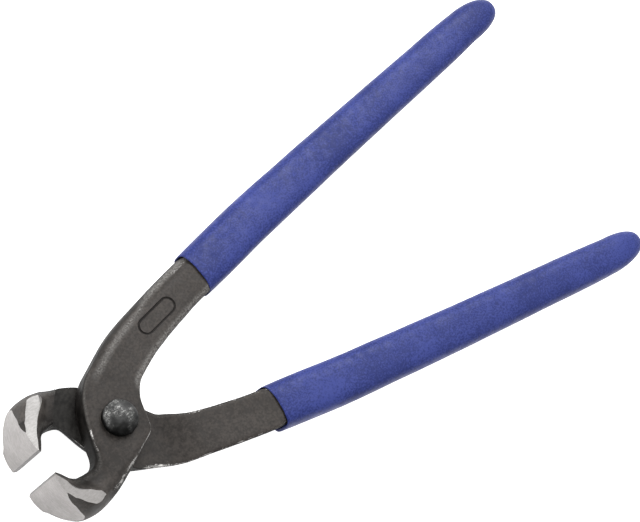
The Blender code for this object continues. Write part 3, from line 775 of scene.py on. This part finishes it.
def lever_wear(mesh, seed, rear, hole):
    """Per-vertex masks for the forged paint: top carries painted shade on walls, in hollows and by
    the joint; a second mask carries paler rubbed bands, partly painted highlight; wear marks where
    the scale is worn bare.
    """
    groove = set()
    for f in mesh.polygons:
        if mesh.materials[f.material_index].name.startswith("stamped"):
            groove.update(f.vertices)
    path = catmull(OUTER_SIDE + FRONT_SIDE, 8)
    tree = kdtree.KDTree(len(path))
    for i, q in enumerate(path):
        if rear and i < 8 * len(OUTER_SIDE):
            tree.insert((q.x, q.y + draft(q.x), 0.0), i)
        else:
            shift = (0.35 if rear else -0.5) * (i > 8 * len(OUTER_SIDE))
            tree.insert((q.x, q.y + shift * ease((q.x - 12.0) / 6.0), 0.0), i)
    tree.balance()
    ahead = (TONGUE_B - TONGUE_A).xy.normalized()
    across = TO_FRONT.inverted() @ TO_REAR
    cover = kdtree.KDTree(len(path))
    for i, q in enumerate(path):
        cover.insert((q.x, q.y, 0.0), i)
    cover.balance()
    top, wear, rub_and_sheen = [], [], []
    for v in mesh.vertices:
        x, y, z = v.co
        inset = tree.find((x, y, 0.0))[2]
        nz = abs(v.normal.z)
        p = v.co + Vector((seed, -seed, 0.0))
        broken = 0.80 + 0.75 * noise.noise(p * 0.42)
        broken = min(max(broken, 0.0), 1.3)
        edge = bell(nz, 0.35, 0.80, 0.99)
        band = bell(inset, 0.8, 2.2, 3.9) * ease((nz - 0.45) / 0.3)
        on_jaw = ease((-x - 12.0) / 3.0)
        outer = ease((y - 0.5 * x - 2.0) / 4.0) * (1.0 - on_jaw)
        neck = outer * ease((x - 0.5) / 5.0)          # back of the handle
        inner = (1.0 - outer) * ease((x - 9.0) / 3.0)  # finger side of the handle
        plate = (1.0 - on_jaw) * (1.0 - max(neck, inner))
        left = plate * ease((y + 0.8 * x + 6.0) / 3.0) * ease((4.0 - x) / 3.0)
        lap_side = ease((1.0 - z) / 1.0)
        strength = ((0.42 + 0.45 * lap_side + 0.26 * ease((x - 30.0) / 10.0)) * neck
                    + 0.55 * inner + 0.80 * plate - 0.52 * left + 0.30 * on_jaw)
        upper = 1.0 - lap_side
        edge *= 1.0 - ease((inset - 1.6) / 1.0)
        band *= upper * neck
        worn = (edge * (1.0 - upper * neck) + band * band) * strength * broken
        if rear and z > 2.0:
            worn *= 1.0 - 0.7 * plate
        soft = (edge * (0.30 * plate + 0.25 * on_jaw)
                + band * (0.74 + 0.26 * ease((x - 22.0) / 16.0)))
        soft += 1.3 * bell(inset, -0.6, 0.6, 2.4) * inner * upper * ease((nz - 0.2) / 0.3)
        # Scuffed fringe along the rear handle's upper face.
        if rear and x > 1.0 and z < 1.0 and nz > 0.3:
            wide = 0.45 + 1.1 * ease((16.0 - x) / 8.0) + 0.8 * ease((x - 32.0) / 8.0)
            fringe = 1.0 - ease((inset - 0.1) / wide)
            worn = max(worn, fringe * neck * (0.40 + 0.38 * broken + 0.10 * ease((14.0 - x) / 6.0)))
            line = 1.0 - ease(abs(inset - 0.55) / 0.40)
            worn = max(worn, line * inner * (0.12 + 0.38 * broken))
        # Painted shade: faces turned away from up and down get the darker wall colour; the jaw's
        # front corner is kept light.
        unshaded = ease((nz - 0.35) / 0.55)
        unshaded = max(unshaded, 0.95 * ease((-x - 14.0) / 3.0) * ease((-y - 5.0) / 2.0))
        # Painted shade in the front lever's mouth corner, and no wear there.
        beside = ahead.x * (y - TONGUE_A.y) - ahead.y * (x - TONGUE_A.x)
        if not rear and z > 0.0 and y > -11.0 and beside > -2.5:
            corner = bell(x, -27.0, -19.5, -7.5) * (1.0 - ease((inset - 2.0) / 2.6))
            unshaded *= 1.0 - 0.95 * corner
            worn *= 1.0 - corner
        # The front plate's face is darker towards the joint.
        if not rear and z > 0.0:
            unshaded *= 1.0 - 0.24 * (1.0 - on_jaw) * ease((14.0 - x) / 10.0)
        # Painted shade in the hollow round the lap recess.
        ring = math.hypot(x - hole.x, y - hole.y)
        if x < -8.0 and z < 6.0:
            unshaded *= 1.0 - 0.70 * (1.0 - ease((ring - LAP_R) / 4.2))
            if y > -9.0:
                unshaded *= 1.0 - 0.8 * (1.0 - ease((inset - 1.4) / 3.2))
        # Bright sliver under the rear plate's mouth edge.
        if rear and z < 0.9 and -14.0 < x < -3.0 and y - 0.9 * x > 6.0:
            worn = max(worn, 0.75 * (1.0 - ease((z - 0.25) / 0.6)) * broken)
        # No rubbing, painted sheen or painted shade where the lap recess runs out, or round the
        # oval.
        if (z < 1.2 and 8.0 < x < 13.0 and 2.0 < y < 15.5) or v.index in groove:
            worn, soft, unshaded = 0.0, 0.0, 1.0
        # Painted shade by the joint, with a painted shadow darkest along the edge of the plate
        # above.
        if rear and z < 1.2 and x > -3.0:
            unshaded *= 1.0 - 0.24 * ease((25.0 - x) / 11.0)
            q = across @ v.co
            unshaded *= 0.35 + 0.65 * ease(cover.find((q.x, q.y, 0.0))[2] / 1.3)
        top.append(unshaded)
        wear.append(worn)
        rub_and_sheen.append(min(soft, 1.0))
    set_attribute(mesh, "top", top)
    set_attribute(mesh, "wear", wear)
    set_attribute(mesh, "rub_and_sheen", rub_and_sheen)


def scale_back(mesh, lap, scale):
    """The lap face is bare only on the jaw side; past the pivot it keeps scale."""
    bm = bmesh.new()
    bm.from_mesh(mesh)
    for axis, values in ((0, [-3.0 + 0.7 * k for k in range(21)]),
                         (1, [-12.0 + 0.7 * k for k in range(46)])):
        normal = Vector((1, 0, 0)) if axis == 0 else Vector((0, 1, 0))
        for value in values:
            faces = [f for f in bm.faces if f.material_index == lap
                     and abs(f.normal.z) > 0.9
                     and (axis == 0 or f.calc_center_median().x > -3.0)]
            edges = {e for f in faces for e in f.edges}
            verts = {v for f in faces for v in f.verts}
            bmesh.ops.bisect_plane(bm, geom=list(verts) + list(edges) + faces,
                                   dist=1e-4, plane_co=normal * value,
                                   plane_no=normal)
    for f in bm.faces:
        if (f.material_index == lap and abs(f.normal.z) > 0.9
                and f.calc_center_median().x > -3.0):
            f.material_index = scale
    bm.to_mesh(mesh)
    bm.free()


def volume(mesh):
    bm = bmesh.new()
    bm.from_mesh(mesh)
    size = bm.calc_volume()
    bm.free()
    return size


def carve(mesh, tool, col, add=False):
    """Cuts out or adds the tool; a degenerate result is tried again a hair off."""
    before = volume(mesh)
    low, high = (1.1, 1.9) if add else (0.75, 1.0)
    for nudge in (0.0, 0.004, -0.005, 0.009, -0.011):
        trial = link("trial", mesh.copy(), col)
        tool.location = (nudge, nudge * 0.7, nudge * 0.4)
        mod = trial.modifiers.new("cut", "BOOLEAN")
        mod.operation = "UNION" if add else "DIFFERENCE"
        mod.solver = "EXACT"
        mod.material_mode = "TRANSFER"
        mod.object = tool
        result = baked(trial, mesh.name)
        if low * before < volume(result) <= high * before:
            break
    bpy.data.objects.remove(tool, do_unlink=True)
    return result


def make_lever(name, hole, to_world, mats, seed, stamped, tools_col, parts_col):
    mesh = lever_blank(name, seed, tools_col, not stamped)
    mesh.materials.append(mats["forged"])
    mesh = carve(mesh, handle_bar(name + "_bar", tools_col, mats["forged"]), tools_col,
                 add=True)
    tools = lever_tools(name, hole, tools_col, mats, stamped)
    for tool in tools:
        mesh = carve(mesh, tool, tools_col)
    scale_back(mesh, *(mesh.materials.find(mats[k].name) for k in ("lap", "forged")))
    lever_wear(mesh, seed, not stamped, hole)
    shade(mesh, 38.0)
    mesh.transform(to_world)
    return link(name, mesh, parts_col)


# ---------------------------------------------------------------------- grip
def grip_section(x):
    line = GRIP_LINE
    x = min(max(x, line[0][0]), line[-1][0])
    fine = GRIP_CURVE
    for p, q in zip(fine, fine[1:]):
        if x <= q.x:
            t = (x - p.x) / (q.x - p.x)
            break
    y, w = p.y + (q.y - p.y) * t, p.z + (q.z - p.z) * t
    return y, w, GRIP_T - GRIP_TAPER * (x - MOUTH_X) / (GRIP_END_X - MOUTH_X)


GRIP_CURVE = catmull(GRIP_LINE, 8)


def superellipse(a, b, power, count):
    out = []
    for k in range(count):
        t = 2.0 * math.pi * k / count
        c, s = math.cos(t), math.sin(t)
        out.append((a * math.copysign(abs(c) ** (2.0 / power), c),
                    b * math.copysign(abs(s) ** (2.0 / power), s)))
    return out


def make_grip(name, to_world, mat, seed, col, flip, slim, shift):
    """Dipped sleeve: stretched skin, rolled mouth, round end."""
    count = 72
    mid_z = FACE_Z - BAR_T / 2.0
    bm = bmesh.new()

    def ring(x, y, a, b, power):
        z = mid_z + HANDLE_RISE * max(x - MOUTH_X, 0.0)
        out = []
        for p, q in superellipse(a, b, power, count):
            p += shift
            wave = 0.12 * noise.noise(Vector((seed, 0.35 * p, 0.35 * q)))
            hollow = 0.55 * (1.0 - min(abs(p) / 6.6, 1.0) ** 2) * ease(abs(q) / 4.0)
            skew = (0.075 * p - 1.4) * (1.0 - flip)
            dx = (hollow - 0.14 * q * flip + wave + skew) * ease((MOUTH_X + 8.0 - x) / 8.0)
            out.append(bm.verts.new((x + dx, y + p, z + q)))
        return out

    rings = []
    # Pocket floor to mouth, then the outer skin to the end.
    for x in (185.0, 183.0, 180.0, 160.0, 130.0, 100.0, 75.0, 61.0):
        hi, lo, half, mid = bar_section(x)
        rings.append(ring(x, (hi + lo) / 2.0 - shift, (hi - lo) / 2.0 + 0.2,
                          half + 0.2, 4.6))
    for x in (57.0, 53.0, 49.5, MOUTH_X + 0.5, MOUTH_X + 0.12):
        hi = max(21.1 - 0.06 * (x - 45.5), bar_section(x)[0] * (x > 55.0))
        lo = 9.3 + 0.09 * (x - 45.0) - flip * (0.5 if x > 49.0 else 0.38)
        grow = 0.28 + 0.15 * ease((MOUTH_X + 0.6 - x) / 0.6)
        rings.append(ring(x, (hi + lo) / 2.0 - shift, (hi - lo) / 2.0 + grow,
                          BAR_T / 2.0 + grow, 5.4))
    inner_count = len(rings)
    y, w, t = grip_section(MOUTH_X)
    rings.append(ring(MOUTH_X - 0.02, y, (w - slim) / 2.0 - 0.22, t / 2.0 - 0.22, 3.6))
    rings.append(ring(MOUTH_X + 0.10, y, (w - slim) / 2.0 - 0.05, t / 2.0 - 0.05, 3.5))
    stations = [MOUTH_X + 0.4] + [MOUTH_X + 1.2 + 2.4 * k for k in range(55)] + [180.0]
    for x in stations:
        y, w, t = grip_section(x)
        rings.append(ring(x, y, (w - slim) / 2.0, t / 2.0, 3.4 - 0.5 * (x - MOUTH_X) / 133.0))
    y0, w, t = grip_section(180.0)
    for k in range(1, 15):
        a = math.radians(90.0 * k / 15.0)
        s, c = math.sin(a), math.cos(a) ** 0.8
        rings.append(ring(180.0 + (GRIP_END_X - 180.0) * s, y0 - 0.6 * s,
                          (w - slim) / 2.0 * c, t / 2.0 * c, 2.9 - 0.6 * s))
    for p, q in zip(rings, rings[1:]):
        for i in range(count):
            j = (i + 1) % count
            bm.faces.new((p[i], p[j], q[j], q[i]))
    bm.faces.new(rings[0])
    tip = bm.verts.new((GRIP_END_X, y0 - 0.6,
                        mid_z + HANDLE_RISE * (GRIP_END_X - MOUTH_X)))
    for i in range(count):
        bm.faces.new((rings[-1][i], rings[-1][(i + 1) % count], tip))
    bmesh.ops.recalc_face_normals(bm, faces=bm.faces)
    bm.normal_update()
    for ring_verts in rings[inner_count + 2:]:
        for v in ring_verts:
            p = v.co + Vector((17.0 * seed, 0.0, 0.0))
            v.co += v.normal * (0.06 * noise.noise(p * 0.11)
                                + 0.022 * noise.noise(p * 0.45))
    mesh = bpy.data.meshes.new(name)
    bm.to_mesh(mesh)
    bm.free()
    mesh.materials.append(mat)
    shade(mesh, 60.0)
    mesh.transform(to_world)
    return link(name, mesh, col)


# --------------------------------------------------------------------- rivet
def make_rivet(name, mat, col):
    """Solid rivet with hammered domes on both sides."""
    top = FACE_Z + 0.04
    head_r, head_h, side_h, count = 4.98, 3.5, 0.95, 96
    profile = [(0.0, top + head_h)]
    for k in range(1, 25):
        t = math.radians(90.0 * k / 24.0)
        profile.append((head_r * math.sin(t) ** 0.90,
                        top + side_h + (head_h - side_h) * math.cos(t) ** 0.95))
    profile += [(head_r + 0.02, top + 0.5), (head_r - 0.03, top + 0.15),
                (head_r - 0.3, top), (4.0, top)]
    profile += [(r, -z) for r, z in reversed(profile)]
    bm = bmesh.new()
    rings = []
    for r, z in profile:
        if r < 1e-6:
            rings.append([bm.verts.new((0.0, 0.0, z))])
        else:
            rings.append([bm.verts.new((r * math.cos(2 * math.pi * i / count),
                                        r * math.sin(2 * math.pi * i / count), z))
                          for i in range(count)])
    for p, q in zip(rings, rings[1:]):
        for i in range(count):
            j = (i + 1) % count
            if len(p) == 1:
                bm.faces.new((p[0], q[j], q[i]))
            elif len(q) == 1:
                bm.faces.new((p[i], p[j], q[0]))
            else:
                bm.faces.new((p[i], p[j], q[j], q[i]))
    bmesh.ops.recalc_face_normals(bm, faces=bm.faces)
    bm.normal_update()
    for v in bm.verts:
        if abs(v.co.z) > top + 0.1:
            dent = 0.17 * noise.noise(v.co * 0.42 + Vector((4.0, 1.0, 7.0)))
            dent += 0.06 * noise.noise(v.co * 1.1)
            v.co += v.normal * dent
    mesh = bpy.data.meshes.new(name)
    bm.to_mesh(mesh)
    bm.free()
    # Painted highlight on the dome's lit side (+y, +x) and painted shade on the rest of the head,
    # with noise for the rubbed streaks.
    rub_and_sheen = []
    for v in mesh.vertices:
        high = ease((abs(v.co.z) - top - 0.6) / 1.8)
        lit = 0.66 + 0.72 * v.normal.y + 0.24 * v.normal.x
        rub_and_sheen.append(min(high * (lit + 0.4 * noise.noise(v.co * 0.5)), 1.0))
    set_attribute(mesh, "rub_and_sheen", rub_and_sheen)
    mesh.materials.append(mat)
    shade(mesh, 55.0)
    mesh.transform(Matrix.Scale(MM, 4) @ Matrix.Translation(AXIS))
    return link(name, mesh, col)


# --------------------------------------------------------------------- build
parts = collection("pincers")
tools = collection("tools")

FINE_X = ((1.0, 1.0, 1.0), (0.0, 0.0, 0.0))
mats = {
    "forged": forged_steel("forged_scale"),
    "lap": machined_lap("lap_face"),
    "groove": groove_steel("stamped_groove"),
    "front": ground_steel("ground_front", ((500.0, 500.0, 2600.0), (0.0, 0.0, 0.0)),
                          (0.262, 0.248, 0.241), (0.196, 0.185, 0.180), 0.40, 0.55),
    "side": ground_steel("ground_side", ((700.0, 2400.0, 700.0), (0.0, 0.0, 0.6)),
                         (0.300, 0.293, 0.286), (0.230, 0.222, 0.216), 0.55, 0.66),
    "edge": ground_steel("ground_edge", ((500.0, 500.0, 2600.0), (0.0, 0.0, 0.0)),
                         (0.140, 0.134, 0.130), (0.095, 0.090, 0.087), 0.40, 0.5),
}
front_mats = dict(mats)
# A darker copy of the ground side finish for the front jaw: painted shade.
front_mats["side"] = ground_steel(
    "ground_side_front_shaded", ((700.0, 2400.0, 700.0), (0.0, 0.0, 0.6)),
    (0.262, 0.252, 0.245), (0.204, 0.195, 0.188), 0.53, 0.65)
front = make_lever("front_lever_look", FRONT_HOLE, TO_FRONT, front_mats, 11.0, True,
                   tools, parts)
rear = make_lever("rear_lever_look", REAR_HOLE, TO_REAR, mats, 47.0, False,
                  tools, parts)
blue = vinyl("vinyl_blue")
front_grip = make_grip("front_grip_look", TO_FRONT, blue, 1.0, parts, 1.0, 0.30, -0.15)
rear_grip = make_grip("rear_grip_look", TO_REAR, blue, 5.0, parts, 0.0, 0.45, 0.22)
rivet = make_rivet("pivot_rivet_look", rivet_steel("rivet_worn"), parts)

for piece, node, body, slot in (
        (front, "front_lever", "front_half", "forged_front"),
        (front_grip, "front_grip", "front_half", "vinyl_front"),
        (rear, "rear_lever", "rear_half", "forged_rear"),
        (rear_grip, "rear_grip", "rear_half", "vinyl_rear"),
        (rivet, "pivot_rivet", "rear_half", "rivet_steel")):
    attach(piece, body)
    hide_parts(node)

# -------------------------------------------------------------- floor, light
floor_mat = Nodes("pale_floor")
floor_mat.finish(base_color=(0.62, 0.62, 0.62), roughness=0.9, specular=0.1,
                 emission_color=(1.0, 1.0, 1.0), emission_strength=0.92)
floor_mesh = bpy.data.meshes.new("floor")
floor_mesh.from_pydata([(-4, -4, 0), (4, -4, 0), (4, 4, 0), (-4, 4, 0)], [],
                       [(0, 1, 2, 3)])
floor_mesh.materials.append(floor_mat.mat)
floor = link("floor", floor_mesh, bpy.context.scene.collection)

world = bpy.data.worlds.new("studio")
bpy.context.scene.world = world
world.use_nodes = True
world.node_tree.nodes["Background"].inputs["Color"].default_value = (1, 1, 1, 1)
world.node_tree.nodes["Background"].inputs["Strength"].default_value = 0.60

# Camera at the photo's view: elevation, azimuth and roll about the view line.
azimuth, elevation, roll = (math.radians(a) for a in (185.2721, 56.7687, 50.5571))
back = Vector((math.cos(elevation) * math.cos(azimuth),
               math.cos(elevation) * math.sin(azimuth), math.sin(elevation)))
right = Vector((0, 0, 1)).cross(back).normalized()
up = back.cross(right)
cam_right = math.cos(roll) * right + math.sin(roll) * up
cam_up = -math.sin(roll) * right + math.cos(roll) * up
eye = (Vector((84.0527, 5.5076, 0.0)) + 575.6206 * back - CENTRE) * MM
camera = bpy.data.cameras.new("camera")
camera.lens = 112.5
camera.sensor_width = 36.0
camera.sensor_fit = "HORIZONTAL"
camera.clip_start = 0.01
camera_obj = bpy.data.objects.new("camera", camera)
bpy.context.scene.collection.objects.link(camera_obj)
camera_obj.matrix_world = Matrix((
    (cam_right.x, cam_up.x, back.x, eye.x),
    (cam_right.y, cam_up.y, back.y, eye.y),
    (cam_right.z, cam_up.z, back.z, eye.z),
    (0, 0, 0, 1)))
bpy.context.scene.camera = camera_obj


def area_light(name, offset, size, power):
    """Soft box aimed at the tool; offset from it in picture directions, m."""
    lamp = bpy.data.lights.new(name, "AREA")
    lamp.shape = "DISK"
    lamp.size = size
    lamp.energy = power
    obj = bpy.data.objects.new(name, lamp)
    bpy.context.scene.collection.objects.link(obj)
    aim = Vector((0.0, 0.0, 0.011))
    obj.location = aim + offset
    obj.rotation_euler = (aim - obj.location).to_track_quat("-Z", "Y").to_euler()


area_light("key", cam_up * 0.85 + cam_right * 0.32 + Vector((0, 0, 0.6)), 0.9, 22.0)
area_light("left", -cam_right * 0.6 + Vector((0, 0, 0.55)), 0.7, 3.8)
area_light("right", cam_right * 0.7 - cam_up * 0.1 + Vector((0, 0, 0.55)), 0.7, 2.0)

bpy.context.scene.view_settings.view_transform = "Standard"
bpy.context.scene.view_settings.look = "None"

for extra in list(tools.objects):
    bpy.data.objects.remove(extra, do_unlink=True)
bpy.data.collections.remove(tools)
bpy.context.view_layer.update()
